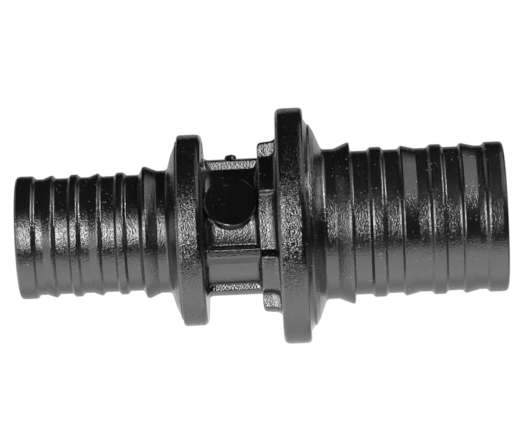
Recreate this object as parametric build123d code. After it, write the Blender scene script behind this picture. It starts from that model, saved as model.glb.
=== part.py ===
from build123d import *
import math
import os

# Reducing coupling for plastic pipe, moulded in one piece. A ribbed spigot stands at each end, and
# between the two flanges lie a ring of lugs and a waist with pockets, ribs and a marking disc.
#
# Frame: millimetres, +Z along the bore from the large end to the small one, with z = 0 on the large
# end's face. The mould parts on the plane y = 0 and opens along Y. The gate is on the +X side, and
# the marking disc is on the -Y side. Angles round the bore count from the mould's opening direction.

# ---- large spigot, places measured from its open end ----
large_bore_r = 8.0
large_root_r = 10.17        # floor of the grooves between the rings
large_ring_r = 10.62        # crests of the rings and ridges
large_barb_r = 11.44
large_end_ring = 2.62       # width of the ring at the open end
large_ridge_crest = 5.74    # first saw-tooth ridge
large_ridge_ramp = 1.75     # its slope towards the open end
large_ridge_back = 0.45     # its steep side
large_ring_offset = 3.79    # from a ridge's crest to the middle of the ring behind it
large_ring_width = 1.85
large_pitch = 8.43          # from one ridge to the next
large_barb_face = 21.46     # foot of the barb's steep face
large_barb_rise = 0.42
large_barb_land = 0.42
large_barb_ramp = 1.65
large_spigot_length = 28.05

# ---- small spigot, the same way ----
small_bore_r = 6.3
small_root_r = 8.21
small_ring_r = 8.66
small_barb_r = 9.32
small_end_ring = 2.75
small_ridge_crest = 5.2
small_ridge_ramp = 1.35
small_ridge_back = 0.6
small_ring_offset = 3.1
small_ring_width = 1.5
small_pitch = 6.5
small_barb_face = 17.5
small_barb_rise = 0.8
small_barb_land = 0.2
small_barb_ramp = 1.55
small_spigot_length = 22.95

ridge_pairs = 2             # ridge and ring pairs on each spigot
end_chamfer = 0.55          # outer corner of each open end
mouth_chamfer = 0.5         # lead-in of each bore

# ---- flanges and the collars that carry them, collar places measured from the flange's face ----
large_flange_r = 16.69
large_flange_width = 3.96
large_sleeve_seat = 1.59    # flat ring left on the flange outside its collar
large_collar_slope = 1.86   # radius the collar gains between its shoulder and the flange
large_shoulder_depth = 1.35
large_collar_depth = 2.37
small_flange_r = 13.54
small_flange_width = 3.55
small_sleeve_seat = 1.4
small_collar_slope = 1.37
small_shoulder_depth = 0.92
small_collar_depth = 1.53
flange_small_side_chamfer = 0.45
flange_large_side_chamfer = 0.3

# ---- lug ring beside the large flange ----
lug_ring_width = 2.69
lug_floor_r = 9.98
lug_r = 12.2                # crest at the flange
lug_taper = 0.25            # loss of crest radius towards the waist
lug_chamfer = 0.6
lug_floor_slope = 1.2       # slope from the lug ring's floor up to the flange
lug_root_angles = (20.9, 67.8)
lug_crest_angles = (24.0, 50.2)

# ---- waist ----
waist_length = 7.79
core_r = 8.5
pocket_end_rise = 1.35      # slope at a pocket's ends: its height, and its length along the bore
pocket_end_run = 0.9
gate_rib_r = 9.84           # rib on the parting plane, on the gate's side
foot_rib_r = 9.45           # the one opposite
side_rib_r = 9.65
parting_rib_width = 5.7
rib_end_slope = 0.5
side_rib_root_angles = (20.6, 40.3)
side_rib_crest_angles = (22.0, 29.2)
wedge_reach = 1.6           # how far a wedge's walls run on past its crest, as a multiple of its height
disc_r = 3.75
disc_face_distance = 9.25   # from the bore's axis to the disc's face
disc_angle = 20.0
disc_edge = 0.15
disc_skirt = 3.0            # depth of the disc's wall along the mould's opening
gate_stub_r = 0.85
gate_stub_top_r = 0.72
gate_stub_height = 0.45
gate_tear_r = 0.5           # torn lip left on the stub
gate_tear_top_r = 0.3
gate_tear_height = 0.25
bore_step_start = 27.5      # cone between the two bores, measured from the large end
bore_step_length = 5.5

# ---- stations along the axis ----
large_flange_z = large_spigot_length
lug_ring_z = large_flange_z + large_flange_width
waist_z = lug_ring_z + lug_ring_width
small_flange_z = waist_z + waist_length
small_spigot_z = small_flange_z + small_flange_width
total_length = small_spigot_z + small_spigot_length
overlap = 1.0               # how far an added form reaches into what carries it


def on_circle(radius, degrees):
    """Point of the XY plane at an angle counted from -Y towards +X."""
    angle = math.radians(degrees)
    return Vector(radius * math.sin(angle), -radius * math.cos(angle))


def toothed_outline(root, ring, barb, end_ring, ridge, ring_middle, ring_width, pitch, barb_run):
    """Outer corners of a spigot as (distance from its open end, radius).

    ridge is (crest, ramp, back) of the first ridge, ring_middle the place of the first plain ring
    behind its ridge, and barb_run (face, rise, land, ramp) the reversed barb, from its foot on.
    """
    crest, ramp, back = ridge
    face, rise, land, fall = barb_run
    corners = [(0, ring - end_chamfer), (end_chamfer, ring), (end_ring, ring), (end_ring, root)]
    for pair in range(ridge_pairs):
        top = crest + pair * pitch
        near = top + ring_middle - ring_width / 2
        far = near + ring_width
        corners += [(top - ramp, root), (top, ring), (top + back, root)]
        corners += [(near, root), (near, ring), (far, ring), (far, root)]
    corners += [(face, root), (face + rise, barb)]
    corners += [(face + rise + land, barb), (face + rise + land + fall, ring)]
    return corners


def collar_outline(length, neck, collar, slope, shoulder_depth, depth):
    """Corners of the collar between the spigot's neck and the flange's face, at length."""
    return [(length - depth, neck), (length - shoulder_depth, collar - slope), (length, collar)]


def flange_outline(start, stop, radius):
    """Corners of a flange's rim, whose sides are at start and stop."""
    return [
        (start, radius - flange_large_side_chamfer),
        (start + flange_large_side_chamfer, radius),
        (stop - flange_small_side_chamfer, radius),
        (stop, radius - flange_small_side_chamfer),
    ]


def reversed_outline(corners):
    """The same corners for a spigot whose open end is the far one."""
    return [(total_length - place, radius) for place, radius in corners[::-1]]


def turned(corners):
    """Solid of revolution about Z, between the axis and corners given as (z, radius)."""
    points = [(radius, z) for z, radius in corners]
    outline = Polyline((0, corners[0][0]), *points, (0, corners[-1][0]), close=True)
    return revolve(Plane.XZ * make_face(outline), Axis.Z)


def wedge(root_r, crest_r, root_angles, crest_angles, start, stop):
    """Prism whose side walls run through points on two circles, and on past the crest circle."""
    inner = [on_circle(root_r, angle) for angle in root_angles]
    crest = [on_circle(crest_r, angle) for angle in crest_angles]
    beyond = [low + (high - low) * wedge_reach for low, high in zip(inner, crest)]
    sunk = [point * (1 - overlap / root_r) for point in inner]
    outline = Polyline(sunk[0], inner[0], beyond[0], beyond[1], inner[1], sunk[1], close=True)
    return extrude(Plane.XY.offset(start) * make_face(outline), stop - start)


def rib_blank(radius):
    """Round blank for the crest of a rib along the waist, sloping up to the small flange."""
    return turned([
        (waist_z - overlap, radius),
        (small_flange_z - rib_end_slope, radius),
        (small_flange_z + overlap, radius + rib_end_slope + overlap),
    ])


def make_lug_blank():
    """Round blank for the lugs' crests: tapered towards the waist, with a chamfer there."""
    return turned([
        (lug_ring_z - overlap, lug_r),
        (lug_ring_z, lug_r),
        (waist_z - lug_chamfer, lug_r - lug_taper),
        (waist_z, lug_r - lug_taper - lug_chamfer),
    ])


def make_core():
    """Everything that is round: spigots, collars, flanges, the lug ring's floor and the waist's."""
    large_end = toothed_outline(
        large_root_r, large_ring_r, large_barb_r, large_end_ring,
        (large_ridge_crest, large_ridge_ramp, large_ridge_back),
        large_ring_offset, large_ring_width, large_pitch,
        (large_barb_face, large_barb_rise, large_barb_land, large_barb_ramp),
    )
    large_end += collar_outline(
        large_spigot_length, large_ring_r, large_flange_r - large_sleeve_seat,
        large_collar_slope, large_shoulder_depth, large_collar_depth,
    )
    small_end = toothed_outline(
        small_root_r, small_ring_r, small_barb_r, small_end_ring,
        (small_ridge_crest, small_ridge_ramp, small_ridge_back),
        small_ring_offset, small_ring_width, small_pitch,
        (small_barb_face, small_barb_rise, small_barb_land, small_barb_ramp),
    )
    small_end += collar_outline(
        small_spigot_length, small_ring_r, small_flange_r - small_sleeve_seat,
        small_collar_slope, small_shoulder_depth, small_collar_depth,
    )
    lug_floor = [
        (lug_ring_z, lug_floor_r + lug_floor_slope),
        (lug_ring_z + lug_floor_slope, lug_floor_r),
        (waist_z, lug_floor_r),
    ]
    waist = [
        (waist_z, core_r + pocket_end_rise),
        (waist_z + pocket_end_run, core_r),
        (small_flange_z - pocket_end_run, core_r),
        (small_flange_z, core_r + pocket_end_rise),
    ]
    middle = flange_outline(large_flange_z, lug_ring_z, large_flange_r) + lug_floor + waist
    middle += flange_outline(small_flange_z, small_spigot_z, small_flange_r)
    return turned(large_end + middle + reversed_outline(small_end))


def make_parting_ribs(lug_blank):
    """Rib and lug on the parting plane, on the gate's side and opposite."""
    reach = lug_r + overlap
    start, stop = lug_ring_z - overlap, small_flange_z + overlap
    ribs = []
    for side, crest_r in ((1, gate_rib_r), (-1, foot_rib_r)):
        bar = Pos(side * reach / 2, 0, start) * Box(
            reach, parting_rib_width, stop - start, align=(Align.CENTER, Align.CENTER, Align.MIN)
        )
        ribs += [bar & rib_blank(crest_r), bar & lug_blank]
    return ribs


def make_side_ribs():
    """Ribs between the pockets. The disc stands where the fourth one would be."""
    start, stop = waist_z - overlap, small_flange_z + overlap
    rib = wedge(core_r, side_rib_r, side_rib_root_angles, side_rib_crest_angles, start, stop)
    rib &= rib_blank(side_rib_r)
    front_low = mirror(rib, Plane.YZ)
    back_high = mirror(rib, Plane.XZ)
    return [front_low, back_high, mirror(front_low, Plane.XZ)]


def make_lugs(lug_blank):
    """Four lugs of the ring, two on each side of the parting plane."""
    start, stop = lug_ring_z - overlap, waist_z
    lug = wedge(lug_floor_r, lug_r, lug_root_angles, lug_crest_angles, start, stop) & lug_blank
    low = mirror(lug, Plane.YZ)
    return [lug, low, mirror(lug, Plane.XZ), mirror(low, Plane.XZ)]


def make_disc():
    """Bare marking disc, with a wall behind its far edge that clears the mould's opening."""
    outward = on_circle(1, disc_angle)
    middle = Vector(0, 0, waist_z + waist_length / 2)
    face = Plane(middle + outward * disc_face_distance, x_dir=(0, 0, 1), z_dir=outward)
    base_distance = math.sqrt(core_r**2 - disc_r**2) - disc_edge
    boss = extrude(face * Circle(disc_r), base_distance - disc_face_distance)
    boss = chamfer(boss.edges().group_by(Axis(face.origin, outward))[-1], disc_edge)
    below_edge = Plane(face.origin - outward * disc_edge, x_dir=(0, 0, 1), z_dir=outward)
    skirt = extrude(below_edge * Circle(disc_r), disc_skirt, dir=(0, 1, 0))
    return [boss, skirt]


def make_gate_stub():
    """Broken-off gate on the parting rib's crown: a short post with a torn lip."""
    on_base = (Align.CENTER, Align.CENTER, Align.MIN)
    sunk = gate_tear_height
    foot = Plane((gate_rib_r - sunk, 0, waist_z + waist_length / 2), z_dir=(1, 0, 0))
    post = Cone(gate_stub_r, gate_stub_top_r, gate_stub_height + sunk, align=on_base)
    lip = Cone(gate_tear_r, gate_tear_top_r, gate_tear_height + sunk, align=on_base)
    return [foot * post, foot.offset(gate_stub_height) * lip]


def make_bore():
    """Passage from end to end: a chamfered mouth, two bores and the cone between them."""
    return turned([
        (0, large_bore_r + mouth_chamfer),
        (mouth_chamfer, large_bore_r),
        (bore_step_start, large_bore_r),
        (bore_step_start + bore_step_length, small_bore_r),
        (total_length - mouth_chamfer, small_bore_r),
        (total_length, small_bore_r + mouth_chamfer),
    ])


def make_coupling():
    lug_blank = make_lug_blank()
    body = make_core()
    for form in make_parting_ribs(lug_blank) + make_side_ribs() + make_lugs(lug_blank):
        body += form
    for form in make_disc() + make_gate_stub():
        body += form
    return body - make_bore()


coupling = make_coupling()
os.makedirs("parts", exist_ok=True)
export_step(coupling, "parts/coupling_body.step")
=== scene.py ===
"""Visual model of a reducing pipe coupling moulded in black plastic.

Each piece is a surface worked out with numpy from sizes in millimetres and placed in the frame of
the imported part: the bore runs along +Z from the large end, -Y is the side with the marking disc, and
+X is the side with the gate. Angles round the bore are degrees from -Y towards +X, and the mould
parts on the plane y = 0.
"""
import math

import bpy
import numpy as np
from mathutils import Matrix, Vector


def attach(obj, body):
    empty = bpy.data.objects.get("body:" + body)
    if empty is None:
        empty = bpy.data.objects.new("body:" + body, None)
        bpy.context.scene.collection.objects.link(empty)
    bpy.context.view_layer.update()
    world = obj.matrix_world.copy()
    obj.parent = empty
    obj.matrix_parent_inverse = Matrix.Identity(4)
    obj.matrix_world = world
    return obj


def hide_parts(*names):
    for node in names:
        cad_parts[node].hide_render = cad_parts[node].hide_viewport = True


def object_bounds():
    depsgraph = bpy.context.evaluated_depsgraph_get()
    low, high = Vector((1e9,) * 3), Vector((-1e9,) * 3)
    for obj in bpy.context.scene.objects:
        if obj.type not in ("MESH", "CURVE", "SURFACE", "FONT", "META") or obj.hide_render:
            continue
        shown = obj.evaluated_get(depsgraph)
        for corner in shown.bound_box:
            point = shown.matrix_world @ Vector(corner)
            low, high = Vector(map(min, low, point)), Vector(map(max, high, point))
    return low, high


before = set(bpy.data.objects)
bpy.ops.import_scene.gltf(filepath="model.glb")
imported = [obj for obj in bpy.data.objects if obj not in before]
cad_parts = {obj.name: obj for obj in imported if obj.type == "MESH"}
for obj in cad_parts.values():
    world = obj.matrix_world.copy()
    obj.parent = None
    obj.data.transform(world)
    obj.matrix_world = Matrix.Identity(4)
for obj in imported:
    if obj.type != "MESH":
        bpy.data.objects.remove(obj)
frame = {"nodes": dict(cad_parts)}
cad_low, cad_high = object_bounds()

MM = 0.001

# ---- places along Z, in millimetres ----
TOTAL_LENGTH = cad_high[2] / MM
LARGE_FLANGE_Z = 28.05
LUG_RING_Z = 32.01
WAIST_Z = 34.70
SMALL_FLANGE_Z = 42.49
SMALL_SPIGOT_Z = 46.04
CONE_START_Z = 27.5         # cone between the two bores
CONE_STOP_Z = 33.0

# ---- spigots, flanges and bore, in millimetres ----
LARGE_RING_R = 10.62        # crests of the large spigot's rings
LARGE_PITCH = 8.43          # from one ridge to the next
LARGE_FLANGE_R = cad_high[0] / MM
LARGE_BORE_R = 8.0
SMALL_RING_R = 8.66
SMALL_PITCH = 6.5
SMALL_FLANGE_R = 13.54
SMALL_BORE_R = 6.3
GROOVE = 0.45               # depth of the grooves between the rings
MOUTH_CHAMFER = 0.5

# ---- lug ring and waist, in millimetres ----
TUBE_R = 8.3                # wall of the turned body that lug ring and waist cover
SUNK_R = 8.1                # their inner radius, sunk into that wall
LUG_FLOOR_R = 9.98
LUG_R = 12.2
LUG_TAPER = 0.25            # loss of crest radius towards the waist
LUG_ROOT_ANGLES = (20.9, 67.8)
LUG_CREST_ANGLES = (24.0, 50.2)
GATE_LUG_FOOT = (10.4, 23.0)    # radius and angle at the foot of the steep wall by the front floor
GATE_LUG_CREST_ANGLE = 19.8
FOOT_LUG_CREST_ANGLE = 24.3
FRONT_FLOOR_HALF_WIDTH = 3.9
FRONT_FLOOR_CURVE_R = 18.0
CORE_R = 8.5
RIB_HALF_WIDTH = 2.85       # of the wide ribs and lugs on the parting plane
GATE_RIB_R = 9.84
FOOT_RIB_R = 9.45
SIDE_RIB_R = 9.65
SIDE_RIB_ROOT_ANGLES = (20.6, 40.3)
SIDE_RIB_CREST_ANGLES = (22.0, 29.2)
HOLLOW = 1.45               # largest rounding at the waist's ends
HOLLOW_TOP_R = 9.9          # radius at which the hollow beside the lug ring ends
SKIN = 0.005                # how far a form stands off the flat face that it grows from
LUG_RING_SINK = 0.5         # depth of the lug ring's hidden part, in the large flange
WAIST_SINK = 0.4            # depth of the waist's hidden parts, in lug ring and small flange

# ---- marking disc and gate, in millimetres ----
DISC_R = 3.75
DISC_FACE_DISTANCE = 9.25
DISC_ANGLE = 20.0
DISC_Z = 38.55
DISC_EDGE = 0.2             # rounding round its face
DISC_WALL = 1.2             # depth at which the wall behind its rim has a ring of points
DISC_WALL_END = 2.6         # depth at which that wall ends

# ---- fineness of the surfaces ----
CREASE_ANGLE = math.radians(32)
ROUNDED_SHARE = 0.86        # most of a flat that the roundings at its two ends may take together
GUARD = 0.12                # from a rounding to its guard points, as a share of its tangent
MOST_TURN = 3.0             # radians, which keeps the tangent of half a turn finite
BODY_ANGLES = 200
STRETCH_STEPS = 40          # points on each arc or wall of a section, before they are evened out
OUTLINE_STEPS = 1000        # points of a section
RUNNING_MEANS = 9
FLOOR_POINTS = 7            # along half of the floor between the front lugs
DISC_ANGLES = 160
DISC_EDGE_POINTS = 7
STUB_ANGLES = 72


# ---- surfaces ----
def grid_object(name, grid, closed_u, closed_v):
    """Object whose vertices are the points of a grid (u, v, 3) in millimetres.

    Neighbouring points make quads, and a closed direction joins its last row to its first. The sign
    of the enclosed volume, the sum of corner x (next x next but one) / 6 over all faces, says whether
    the faces look outwards; if it is negative, their corners are taken in the other order.
    """
    count_u, count_v = grid.shape[:2]
    index = np.arange(count_u * count_v).reshape(count_u, count_v)
    ahead_u = np.roll(index, -1, axis=0)
    ahead_v = np.roll(index, -1, axis=1)
    ahead_both = np.roll(ahead_u, -1, axis=1)
    quads = np.stack([index, ahead_u, ahead_both, ahead_v], axis=-1)
    quads = quads[: None if closed_u else -1, : None if closed_v else -1].reshape(-1, 4)
    points = grid.reshape(-1, 3) * MM
    a, b, c, d = (points[quads[:, k]] for k in range(4))
    volume = np.einsum("ij,ij->i", a, np.cross(b, c)) + np.einsum("ij,ij->i", a, np.cross(c, d))
    if volume.sum() < 0:
        quads = quads[:, ::-1]
    mesh = bpy.data.meshes.new(name)
    mesh.from_pydata(points.tolist(), [], quads.tolist())
    mesh.polygons.foreach_set("use_smooth", np.ones(len(quads), bool))
    mesh.set_sharp_from_angle(angle=CREASE_ANGLE)
    obj = bpy.data.objects.new(name, mesh)
    bpy.context.scene.collection.objects.link(obj)
    return obj


def eased_loop(corners, steps):
    """Closed outlines (points, sections, 2) through corners whose turns are eased by parabolas.

    corners is a list of (z, r, rounding); each of the three is one number or an array over the
    sections. steps is the number of stretches on a rounding. At a corner P with the directions d1 in
    and d2 out, the tangent length is t = rounding * tan(turn / 2), or what ROUNDED_SHARE of the
    flats beside it leaves, and the curve is (1-w)^2 (P - t d1) + 2 w (1-w) P + w^2 (P + t d2). A
    guard point stands a little before and after it, so that the flats beside it shade as flats.
    """
    sections = max(np.size(value) for corner in corners for value in corner)
    wide = np.array([[np.broadcast_to(value, sections) for value in corner] for corner in corners])
    place = np.moveaxis(wide[:, :2], 1, -1)
    rounding = wide[:, 2]
    ahead = np.roll(place, -1, axis=0) - place
    length = np.maximum(np.linalg.norm(ahead, axis=-1), 1e-6)
    onward = ahead / length[..., None]
    inward = np.roll(onward, 1, axis=0)
    turn = np.arccos(np.clip((inward * onward).sum(-1), -1, 1))
    share = ROUNDED_SHARE * rounding / (rounding + np.roll(rounding, -1, axis=0) + 1e-9)
    share_back = ROUNDED_SHARE * rounding / (rounding + np.roll(rounding, 1, axis=0) + 1e-9)
    room = np.minimum(length * share, np.roll(length, 1, axis=0) * share_back)
    tangent = np.minimum(rounding * np.tan(np.minimum(turn, MOST_TURN) / 2), room)
    rows = []
    for k in range(len(corners)):
        if rounding[k].max() == 0:
            rows.append(place[k][None])
            continue
        start = place[k] - tangent[k][:, None] * inward[k]
        stop = place[k] + tangent[k][:, None] * onward[k]
        w = np.linspace(0, 1, steps + 1)[:, None, None]
        curve = (1 - w) ** 2 * start + 2 * w * (1 - w) * place[k] + w**2 * stop
        guard = GUARD * tangent[k][:, None]
        rows += [(start - guard * inward[k])[None], curve, (stop + guard * onward[k])[None]]
    return np.concatenate(rows)


def ring_object(name, loop, angles):
    """Ring whose section at each angle is a closed loop of (z, r): (r sin a, -r cos a, z)."""
    z, r = loop[..., 0], loop[..., 1]
    grid = np.stack([r * np.sin(angles), -r * np.cos(angles), z + 0 * angles], axis=-1)
    return grid_object(name, grid, True, True)


def spigot_corners(ring, end_ring, ridge, plain_ring, pitch, barb):
    """Corners of a ribbed spigot as (distance from its open end, radius, rounding).

    Each group lists (distance, depth below the rings' crests, rounding), and the radius is ring
    minus depth. Behind the end ring come two pairs of a saw-tooth ridge and a plain ring, one pitch
    apart, and then the barb, steep towards the open end and gentle behind. Walls lean a little, and
    the steep ones that face +Z have a short lead with a slight slope at their foot and crest.
    """
    run = list(end_ring)
    for step in (0, pitch):
        run += [(place + step, depth, rounding) for place, depth, rounding in ridge + plain_ring]
    return [(place, ring - depth, rounding) for place, depth, rounding in run + barb]


def collar_corners(length, corners):
    """Corners (depth in front of the flange, radius, rounding) as spigot_corners gives them.

    The distance from the spigot's open end is its length minus the depth.
    """
    return [(length - depth, radius, rounding) for depth, radius, rounding in corners]


def make_turned_body():
    """All that is round: the profile of spigots, collars, flanges and bore, turned about Z."""
    large_end = spigot_corners(
        LARGE_RING_R,
        [(0, 0, 0.7), (2.44, 0, 1), (2.66, 0.028, 0.2), (3.06, 0.422, 0.2), (3.28, GROOVE, 1)],
        [(4.05, GROOVE, 0.5), (5.9, 0, 0.3), (6.1, 0.026, 0.2), (6.46, 0.422, 0.2),
         (6.68, GROOVE, 1)],
        [(8.5, GROOVE, 0.3), (8.92, 0, 0.3), (10.2, 0, 1), (10.42, 0.028, 0.2),
         (10.84, 0.422, 0.2), (11.06, GROOVE, 1)],
        LARGE_PITCH,
        [(21.52, GROOVE, 0.2), (21.72, -0.82, 0.15), (22.12, -0.77, 0.3), (23.95, 0, 0.5)],
    )
    large_end += collar_corners(LARGE_FLANGE_Z, [
        (2.37, LARGE_RING_R, 0.7), (1.35, 13.24, 0.3), (0.8, 14.18, 0.12), (0.5, 14.28, 0.15),
        (0, 15.10, 0.15),
    ])
    small_end = spigot_corners(
        SMALL_RING_R,
        [(0, -0.06, 0.7), (2.42, -0.02, 0.3), (2.86, GROOVE, 0.28)],
        [(3.85, GROOVE, 0.5), (4.98, 0.016, 0.3), (5.2, 0, 0.2), (5.66, GROOVE, 0.28)],
        [(7.15, GROOVE, 1), (7.45, 0.43, 0.2), (7.83, 0.022, 0.2), (8.18, 0, 1),
         (8.71, 0, 0.28), (9.17, GROOVE, 0.28)],
        SMALL_PITCH,
        [(17.14, GROOVE, 1), (17.44, 0.43, 0.2), (17.99, -0.636, 0.15), (18.41, -0.66, 0.28),
         (19.96, 0, 0.5)],
    )
    small_end += collar_corners(TOTAL_LENGTH - SMALL_SPIGOT_Z, [
        (1.53, SMALL_RING_R, 0.6), (0.92, 10.77, 0.3), (0.24, 12.30, 0.1), (0.24, 12.62, 0.15),
        (0, 12.66, 0.12),
    ])
    reversed_small_end = [(TOTAL_LENGTH - z, r, rounding) for z, r, rounding in small_end[::-1]]
    middle = [
        (LARGE_FLANGE_Z, LARGE_FLANGE_R, 0.6),
        (LUG_RING_Z, LARGE_FLANGE_R, 0.95),
        (LUG_RING_Z, TUBE_R, 0),
        (SMALL_FLANGE_Z, TUBE_R, 0),
        (SMALL_FLANGE_Z, SMALL_FLANGE_R, 0.85),
        (SMALL_SPIGOT_Z, SMALL_FLANGE_R, 0.5),
    ]
    bore = [
        (TOTAL_LENGTH, SMALL_BORE_R + MOUTH_CHAMFER, 0.12),
        (TOTAL_LENGTH - MOUTH_CHAMFER, SMALL_BORE_R, 0.3),
        (CONE_STOP_Z, SMALL_BORE_R, 0.5),
        (CONE_START_Z, LARGE_BORE_R, 0.5),
        (MOUTH_CHAMFER, LARGE_BORE_R, 0.3),
        (0, LARGE_BORE_R + MOUTH_CHAMFER, 0.12),
    ]
    loop = eased_loop(large_end + middle + reversed_small_end + bore, steps=3)
    angles = np.linspace(0, 2 * np.pi, BODY_ANGLES, endpoint=False)
    return ring_object("turned_body", loop, angles)


def behind(half):
    """Entries (radius, degrees) of a section mirrored about the parting plane: a becomes 180 - a."""
    return [(r, 180 - a) for r, a in half[::-1]]


def section(gate_half, foot_half):
    """Angles and radii of a section, at even steps along its outline.

    Each half lists (radius, degrees) from the front round to the back, on the +X and on the -X
    side. An arc, r (sin a, cos a), runs between entries whose radii agree, and a straight wall,
    (1 - w) P + w Q, between the others. Running means along the outline, which give each point half
    of itself and a quarter of each neighbour, then round the edges.
    """
    turning = gate_half + [(r, 360 - a) for r, a in foot_half[::-1]][1:]
    xs, ys = [], []
    for (r0, a0), (r1, a1) in zip(turning[:-1], turning[1:]):
        w = np.linspace(0, 1, STRETCH_STEPS, endpoint=False)
        a = np.radians(a0 + (a1 - a0) * w)
        a0, a1 = np.radians([a0, a1])
        straight = r0 != r1
        xs.append(r0 * (1 - w) * np.sin(a0) + r1 * w * np.sin(a1) if straight else r0 * np.sin(a))
        ys.append(r0 * (1 - w) * np.cos(a0) + r1 * w * np.cos(a1) if straight else r0 * np.cos(a))
    x, y = np.concatenate(xs), np.concatenate(ys)
    x, y = np.append(x, x[0]), np.append(y, y[0])
    run = np.append(0, np.cumsum(np.hypot(np.diff(x), np.diff(y))))
    even = np.linspace(0, run[-1], OUTLINE_STEPS, endpoint=False)
    x, y = np.interp(even, run, x), np.interp(even, run, y)
    for _ in range(RUNNING_MEANS):
        x = (np.roll(x, 1) + 2 * x + np.roll(x, -1)) / 4
        y = (np.roll(y, 1) + 2 * y + np.roll(y, -1)) / 4
    return np.arctan2(x, y), np.hypot(x, y)


def rib_angle(radius):
    """Degrees from the front at which a wide rib's wall, y = -RIB_HALF_WIDTH, has a radius."""
    return math.degrees(math.acos(RIB_HALF_WIDTH / radius))


def make_lug_ring():
    """Ring of six lugs on the large flange: one section, carried along Z with eased ends.

    The floor between the front lugs is flatter than a circle: y = f - (R - sqrt(R^2 - x^2)). With
    h from 0 on the floor to 1 on a lug's crest, the hollow beside the flange is rounded by
    1 + 0.7 (1 - h), and the edge beside the waist by 0.2 + 0.5 h.
    """
    x = np.linspace(0, FRONT_FLOOR_HALF_WIDTH, FLOOR_POINTS)
    y = LUG_FLOOR_R - (FRONT_FLOOR_CURVE_R - np.sqrt(FRONT_FLOOR_CURVE_R**2 - x**2))
    front_floor = list(zip(np.hypot(x, y).tolist(), np.degrees(np.arctan2(x, y)).tolist()))
    back_floor = [(LUG_FLOOR_R, 0), (LUG_FLOOR_R, LUG_ROOT_ANGLES[0])]
    slope_and_rib = [
        (LUG_R, LUG_CREST_ANGLES[1]), (LUG_FLOOR_R, LUG_ROOT_ANGLES[1]),
        (LUG_FLOOR_R, rib_angle(LUG_FLOOR_R)), (LUG_R, rib_angle(LUG_R)), (LUG_R, 90),
    ]
    gate_half = front_floor + [GATE_LUG_FOOT, (LUG_R, GATE_LUG_CREST_ANGLE)] + slope_and_rib
    foot_half = front_floor + [(LUG_R, FOOT_LUG_CREST_ANGLE)] + slope_and_rib
    back = behind(back_floor + [(LUG_R, LUG_CREST_ANGLES[0])] + slope_and_rib)[1:]
    angles, radius = section(gate_half + back, foot_half + back)
    height = np.clip((radius - LUG_FLOOR_R) / (LUG_R - LUG_FLOOR_R), 0, 1)
    hollow = 1.0 + 0.7 * (1 - height)
    top = radius + hollow + 0.1
    start = LUG_RING_Z + SKIN
    return ring_object("lug_ring", eased_loop([
        (start - LUG_RING_SINK, SUNK_R, 0),
        (start - LUG_RING_SINK, top, 0),
        (start, top, 0),
        (start, radius, hollow),
        (WAIST_Z, radius - LUG_TAPER * height, 0.2 + 0.5 * height),
        (WAIST_Z, SUNK_R, 0),
    ], steps=6), angles)


def make_waist():
    """Waist between lug ring and small flange: core, pockets and ribs, with hollow ends.

    The hollow beside the lug ring is rounded by the distance from the section to HOLLOW_TOP_R, up to
    HOLLOW. The one beside the small flange is rounded by HOLLOW - 0.5 h, with h from 0 on the core
    to 1 on the lowest rib's crest.
    """
    core_edge, rib_edge = rib_angle(CORE_R), rib_angle(GATE_RIB_R)
    bare = [(CORE_R, 0)]
    side_rib = [
        (CORE_R, SIDE_RIB_ROOT_ANGLES[0]), (SIDE_RIB_R, SIDE_RIB_CREST_ANGLES[0]),
        (SIDE_RIB_R, SIDE_RIB_CREST_ANGLES[1]), (CORE_R, SIDE_RIB_ROOT_ANGLES[1]),
    ]
    gate_rib = [(CORE_R, core_edge), (GATE_RIB_R, rib_edge), (GATE_RIB_R, 90)]
    foot_rib = [(CORE_R, core_edge), (FOOT_RIB_R, rib_angle(FOOT_RIB_R)), (FOOT_RIB_R, 90)]
    gate_half = bare + gate_rib + behind(side_rib + gate_rib)[1:] + behind(bare)
    foot_half = bare + side_rib + foot_rib + behind(side_rib + foot_rib)[1:] + behind(bare)
    angles, radius = section(gate_half, foot_half)
    height = np.clip((radius - CORE_R) / (FOOT_RIB_R - CORE_R), 0, 1)
    start, stop = WAIST_Z + SKIN, SMALL_FLANGE_Z - SKIN
    start_hollow = np.minimum(HOLLOW, np.maximum(HOLLOW_TOP_R - radius, 0.02))
    stop_hollow = HOLLOW - 0.5 * height
    start_top = np.maximum(HOLLOW_TOP_R, radius + 0.03)
    stop_top = radius + 1.5 * stop_hollow
    return ring_object("waist_with_ribs", eased_loop([
        (start - WAIST_SINK, SUNK_R, 0),
        (start - WAIST_SINK, start_top, 0),
        (start, start_top, 0),
        (start, radius, start_hollow),
        (stop, radius, stop_hollow),
        (stop, stop_top, 0),
        (stop + WAIST_SINK, stop_top, 0),
        (stop + WAIST_SINK, SUNK_R, 0),
    ], steps=8), angles)


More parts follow.
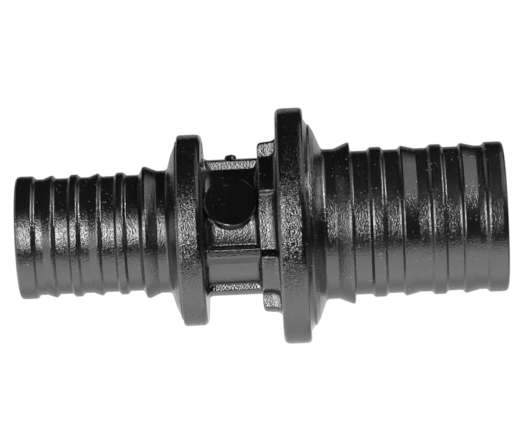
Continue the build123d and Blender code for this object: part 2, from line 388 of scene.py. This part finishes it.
def make_marking_disc():
    """Bare disc, tilted from the front: rings about its own axis, and a wall behind its rim.

    Point = centre + p (Z cos t + side sin t) + outward h, for ring radii p and heights h over the
    face. The edge is a quarter circle, and the last rings go straight back from the rim.
    """
    outward = np.array([math.sin(math.radians(DISC_ANGLE)), -math.cos(math.radians(DISC_ANGLE)), 0])
    along = np.array([0.0, 0.0, 1.0])
    side = np.cross(outward, along)
    t = np.linspace(0, 2 * np.pi, DISC_ANGLES, endpoint=False)
    turn = np.linspace(0, np.pi / 2, DISC_EDGE_POINTS)
    guard = 1.3 * DISC_EDGE
    p = np.concatenate([
        [0.001, 1.5, 3.0, DISC_R - guard], DISC_R - DISC_EDGE + DISC_EDGE * np.sin(turn),
        [DISC_R, DISC_R, DISC_R, 0.001],
    ])
    h = np.concatenate([
        [0, 0, 0, 0], DISC_EDGE * (np.cos(turn) - 1),
        [-guard, -DISC_WALL, -DISC_WALL_END, -DISC_WALL_END],
    ])
    centre = outward * DISC_FACE_DISTANCE + along * DISC_Z
    around = along * np.cos(t)[:, None] + side * np.sin(t)[:, None]
    grid = centre + p[:, None, None] * around + h[:, None, None] * outward
    return grid_object("marking_disc", grid, False, True)


def make_gate_stub():
    """Broken-off gate on the crown of its rib: rings about +X with a lumpy, torn top.

    Point = (crown + x, p cos t, z + p sin t), where slow sines of the angle move the radius p and
    the height x, more so towards the top.
    """
    t = np.linspace(0, 2 * np.pi, STUB_ANGLES, endpoint=False)
    p = np.array([0.95, 0.90, 0.84, 0.80, 0.74, 0.62, 0.45, 0.25, 0.001])
    x = np.array([-0.25, 0.0, 0.12, 0.30, 0.44, 0.53, 0.58, 0.62, 0.63])
    share = np.linspace(0, 1, len(p))[:, None]
    wave = np.sin(3 * t + 0.7) + 0.6 * np.sin(5 * t + 2.1) + 0.4 * np.sin(8 * t)
    radius = p[:, None] * (1 + 0.07 * wave * share**0.5)
    height = x[:, None] + 0.06 * share * (1 - share**6) * np.sin(2 * t + 1.0 + 2 * share)
    height = height + 0.09 * share * (1 - share**8) * np.cos(t + 0.5)
    grid = np.stack([
        GATE_RIB_R + height, radius * np.cos(t), DISC_Z + radius * np.sin(t),
    ], axis=-1)
    return grid_object("gate_stub", grid, False, True)


# ---- materials ----
class Value:
    """A socket whose operators add Math nodes, with reflected forms."""

    def __init__(self, build, socket):
        self.build = build
        self.socket = socket

    def math(self, operation, *others):
        sockets = {k: other for k, other in enumerate((self, *others))}
        return self.build.node("ShaderNodeMath", {"operation": operation}, sockets)

    def __add__(self, other):
        return self.math("ADD", other)

    def __sub__(self, other):
        return self.math("SUBTRACT", other)

    def __rsub__(self, other):
        return self.build.node("ShaderNodeMath", {"operation": "SUBTRACT"}, {0: other, 1: self})

    def __mul__(self, other):
        return self.math("MULTIPLY", other)

    __radd__ = __add__
    __rmul__ = __mul__


class NodeBuild:
    """The node tree of a material or a world, filled through one method."""

    def __init__(self, owner):
        owner.use_nodes = True
        self.tree = owner.node_tree
        self.tree.nodes.clear()

    def node(self, kind, settings=None, sockets=None, output=0):
        """Adds a node: its settings first, then the values or links of its sockets."""
        node = self.tree.nodes.new(kind)
        for name, value in (settings or {}).items():
            setattr(node, name, value)
        for name, value in (sockets or {}).items():
            if isinstance(value, Value):
                self.tree.links.new(value.socket, node.inputs[name])
            else:
                node.inputs[name].default_value = value
        return Value(self, node.outputs[output] if node.outputs else None)

    def noise(self, place, scale, detail=0.0, roughness=0.5):
        """Noise around 0.5, whose scale is its number of cells to a metre."""
        return self.node("ShaderNodeTexNoise", {}, {
            "Vector": place, "Scale": scale, "Detail": detail, "Roughness": roughness,
        })

    def vector(self, operation, sockets, output="Vector"):
        """Vector Math, whose result is a vector or, by the output's name, a value."""
        return self.node("ShaderNodeVectorMath", {"operation": operation}, sockets, output)

    def ramp(self, value, start, stop, low, high):
        """Low up to start, high from stop on, and even between them."""
        return self.node("ShaderNodeMapRange", {}, {0: value, 1: start, 2: stop, 3: low, 4: high})


BLACK = (0.004, 0.004, 0.0043, 1)
DUST_GREY = (0.2, 0.2, 0.2, 1)
PLASTIC_IOR = 1.95
GRAIN_STRETCH = (1.4, 1.4, 1.0)                 # grain is longer along the bore than across it
GRAIN_CELLS = 4500.0        # cells of noise to a metre, also below
CLOUD_CELLS = 420.0
SPECK_CELLS = 3400.0
SPECK_START, SPECK_STOP = 1.045, 1.09           # speck noise and half the clouds added up
RIM_START, RIM_STOP = 12.4 * MM, 13.2 * MM      # distance from the bore's axis
RIM_LOW, RIM_HIGH = 0.65, 1.2
CALM_START, CALM_STOP = 0.3 * MM, 0.9 * MM      # distance along Z from a flange's large-end face
CALM_LOW = 0.2


def black_plastic(name, grain, roughness, dust):
    """Black moulded plastic: a fine eroded grain in the bump, and faint pale specks of dust.

    Grain is the bump's depth in metres, and its height is (fine x rim + clouds / 2) x calm. Rim is
    greater beyond the lugs' crests than within them, and calm is low close to the flanges' faces
    that look at the large end. The roughness gains (clouds - 0.5) / 10 and 0.14 (RIM_HIGH - rim).
    """
    material = bpy.data.materials.new(name)
    build = NodeBuild(material)
    place = build.node("ShaderNodeTexCoord", output="Object")
    fine = build.noise(build.vector("MULTIPLY", {0: place, 1: GRAIN_STRETCH}), GRAIN_CELLS)
    clouds = build.noise(place, CLOUD_CELLS, 3.0, 0.55)
    speck_sum = build.noise(place, SPECK_CELLS) + clouds * 0.5
    specks = build.ramp(speck_sum, SPECK_START, SPECK_STOP, 0.0, 1.0)
    flat = build.vector("MULTIPLY", {0: place, 1: (1.0, 1.0, 0.0)})
    radius = build.vector("LENGTH", {0: flat}, "Value")
    rim = build.ramp(radius, RIM_START, RIM_STOP, RIM_LOW, RIM_HIGH)
    along = build.node("ShaderNodeSeparateXYZ", {}, {0: place}, "Z")
    from_small = (along - SMALL_FLANGE_Z * MM).math("ABSOLUTE")
    from_large = (along - LARGE_FLANGE_Z * MM).math("ABSOLUTE")
    nearest = from_small.math("MINIMUM", from_large)
    calm = build.ramp(nearest, CALM_START, CALM_STOP, CALM_LOW, 1.0)
    bump = build.node("ShaderNodeBump", {}, {
        "Strength": 1.0, "Distance": grain, "Height": (fine * rim + clouds * 0.5) * calm,
    })
    colour = build.node("ShaderNodeMix", {"data_type": "RGBA"}, {
        "Factor": specks * (clouds * dust), 6: BLACK, 7: DUST_GREY,
    }, output=2)
    surface = build.node("ShaderNodeBsdfPrincipled", {}, {
        "Base Color": colour, "Normal": bump, "IOR": PLASTIC_IOR,
        "Roughness": roughness + (clouds - 0.5) * 0.1 + (RIM_HIGH - rim) * 0.14,
    })
    build.node("ShaderNodeOutputMaterial", {}, {"Surface": surface})
    return material


FLOOR_GREY = (0.3, 0.3, 0.3, 1)
FLOOR_WHITE = 1.04          # strength at which the camera sees it
FLOOR_WHITE_SHARE = 0.96    # the rest is the matt grey, which takes the shadow


def pale_floor():
    """Pale matt floor that the camera sees as white, with a trace of the object's shadow."""
    material = bpy.data.materials.new("pale_floor")
    build = NodeBuild(material)
    matt = build.node("ShaderNodeBsdfDiffuse", {}, {"Color": FLOOR_GREY})
    white = build.node("ShaderNodeEmission", {}, {"Color": (1, 1, 1, 1), "Strength": FLOOR_WHITE})
    seen = build.node("ShaderNodeLightPath", output="Is Camera Ray")
    surface = build.node("ShaderNodeMixShader", {}, {0: seen * FLOOR_WHITE_SHARE, 1: matt, 2: white})
    build.node("ShaderNodeOutputMaterial", {}, {"Surface": surface})
    return material


grained = black_plastic("black_plastic_grained", grain=0.05 * MM, roughness=0.13, dust=1.0)
smooth = black_plastic("black_plastic_smooth", grain=0.004 * MM, roughness=0.05, dust=0.3)

# ---- the object ----
node_name = next(iter(frame["nodes"]))
pieces = [make_turned_body(), make_lug_ring(), make_waist(), make_marking_disc(), make_gate_stub()]
for piece in pieces:
    piece.data.materials.append(smooth if piece.name == "marking_disc" else grained)
    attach(piece, "root")
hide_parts(node_name)

# ---- camera, level with the object and turned so that the bore lies across the view ----
TURN = math.radians(4.4)        # round the bore, from -Y towards -X
YAW = math.radians(0.84)        # from square to the bore towards the large end
ROLL = math.radians(2.62)
DISTANCE = 0.524
LENS = 251.8
AIM_Z = 34.07                   # millimetres, also below
AIM_UP = 0.92
across = Vector((0, 0, -1))
upward = Vector((math.cos(TURN), -math.sin(TURN), 0))
towards = Vector((-math.sin(TURN), -math.cos(TURN), 0))
camera_back = towards * math.cos(YAW) + across * math.sin(YAW)
camera_right = across * math.cos(YAW) - towards * math.sin(YAW)
right = camera_right * math.cos(ROLL) - upward * math.sin(ROLL)
up = upward * math.cos(ROLL) + camera_right * math.sin(ROLL)
target = Vector((0, 0, AIM_Z)) * MM + upward * AIM_UP * MM
camera_data = bpy.data.cameras.new("camera")
camera_data.sensor_width = 36.0
camera_data.lens = LENS
camera_data.clip_start = 0.01
camera_data.clip_end = 20.0
camera = bpy.data.objects.new("camera", camera_data)
bpy.context.scene.collection.objects.link(camera)
turned_axes = Matrix((right, up, camera_back)).transposed().to_4x4()
camera.matrix_world = Matrix.Translation(target + camera_back * DISTANCE) @ turned_axes
bpy.context.scene.camera = camera


# ---- floor and light ----
LAMP_MIDDLE_Z = 36              # millimetres up the bore, where the lamps' places count from


def lamp(name, place, facing, width, height, radiance):
    """Rectangular lamp whose power is 4 x radiance x area.

    Place, in metres from the object's middle, and facing are (right, up, towards the camera). The
    width runs as nearly to the right as it can, or towards the camera where the lamp faces sideways.
    """
    axes = Matrix((camera_right, upward, camera_back)).transposed()
    away = -(axes @ Vector(facing)).normalized()
    along = camera_right - away * away.dot(camera_right)
    if along.length < 0.5:
        along = camera_back - away * away.dot(camera_back)
    along.normalize()
    data = bpy.data.lights.new(name, "AREA")
    data.shape = "RECTANGLE"
    data.size = width
    data.size_y = height
    data.energy = radiance * 4 * width * height
    obj = bpy.data.objects.new(name, data)
    bpy.context.scene.collection.objects.link(obj)
    turn = Matrix((along, away.cross(along), away)).transposed().to_4x4()
    middle = Vector((0, 0, LAMP_MIDDLE_Z * MM))
    obj.matrix_world = Matrix.Translation(middle + axes @ Vector(place)) @ turn
    obj.visible_camera = False


def lamp_at(name, azimuth, elevation, distance, size, radiance):
    """Square lamp that faces the middle, at degrees from the camera's side to the right and up."""
    a, e = math.radians(azimuth), math.radians(elevation)
    place = (math.sin(a) * math.cos(e), math.sin(e), math.cos(a) * math.cos(e))
    away = [distance * value for value in place]
    lamp(name, away, [-value for value in place], size, size, radiance)


lamp("key_lamp", (-0.113, 0.03, 0.61), (0.182, -0.05, -0.98), 0.08, 0.32, 9.0)
lamp("key_glow", (-0.115, 0.06, 0.615), (0.182, -0.1, -0.98), 0.1, 0.66, 2.6)
lamp("right_box", (0.42, 0.5, 0.235), (0, -1, 0), 0.58, 1.0, 0.65)
lamp("right_strip", (0.43, 0.34, 0.25), (-0.715, -0.57, -0.416), 0.03, 0.46, 42.0)
lamp_at("side_lamp", 115, 14, 0.6, 0.06, 7.0)
lamp_at("side_box", 92, 36, 0.65, 0.56, 0.4)
lamp("left_strip", (-0.33, 0.03, 0.5), (0.55, -0.05, -0.833), 0.08, 0.4, 6.5)
lamp_at("left_box", -50, -4, 0.6, 0.24, 0.6)
lamp_at("left_side_box", -112, 20, 0.65, 0.55, 0.4)
lamp("low_card", (0, -0.25, 0.08), (0, 1, 0), 0.66, 0.34, 1.15)
lamp("low_right_card", (0.73, -0.25, 0.08), (0, 1, 0), 0.8, 0.34, 0.3)
lamp("low_left_card", (-0.73, -0.25, 0.08), (0, 1, 0), 0.8, 0.34, 0.5)
lamp("low_back_card", (0, -0.25, -0.645), (0, 1, 0), 1.4, 1.11, 0.55)
lamp("back_card", (0, -0.12, -1.2), (0, 0, 1), 2.4, 0.3, 0.8)
lamp("back_high_card", (0, 0.24, -1.2), (0, 0, 1), 2.4, 0.4, 0.5)
lamp("left_card", (-0.4, -0.14, 0), (1, 0, 0), 1.0, 0.4, 0.7)

FLOOR_REACH = 3.0
FLOOR_LEVEL = -0.02 * MM        # just below the end face that the object stands on
floor_mesh = bpy.data.meshes.new("floor")
floor_mesh.from_pydata(
    [(x * FLOOR_REACH, y * FLOOR_REACH, FLOOR_LEVEL) for x, y in ((-1, -1), (1, -1), (1, 1), (-1, 1))],
    [], [(0, 1, 2, 3)],
)
floor = bpy.data.objects.new("floor", floor_mesh)
floor.data.materials.append(pale_floor())
floor.visible_glossy = False        # the lamps below its level light the object too
floor.visible_shadow = False
bpy.context.scene.collection.objects.link(floor)

world = bpy.data.worlds.new("studio")
bpy.context.scene.world = world
studio = NodeBuild(world)
room = studio.node("ShaderNodeBackground", {}, {"Color": (0.015, 0.015, 0.015, 1)})
white = studio.node("ShaderNodeBackground", {}, {"Color": (1, 1, 1, 1)})
seen = studio.node("ShaderNodeLightPath", output="Is Camera Ray")
choice = studio.node("ShaderNodeMixShader", {}, {0: seen, 1: room, 2: white})
studio.node("ShaderNodeOutputWorld", {}, {"Surface": choice})
bpy.context.scene.view_settings.view_transform = "Standard"
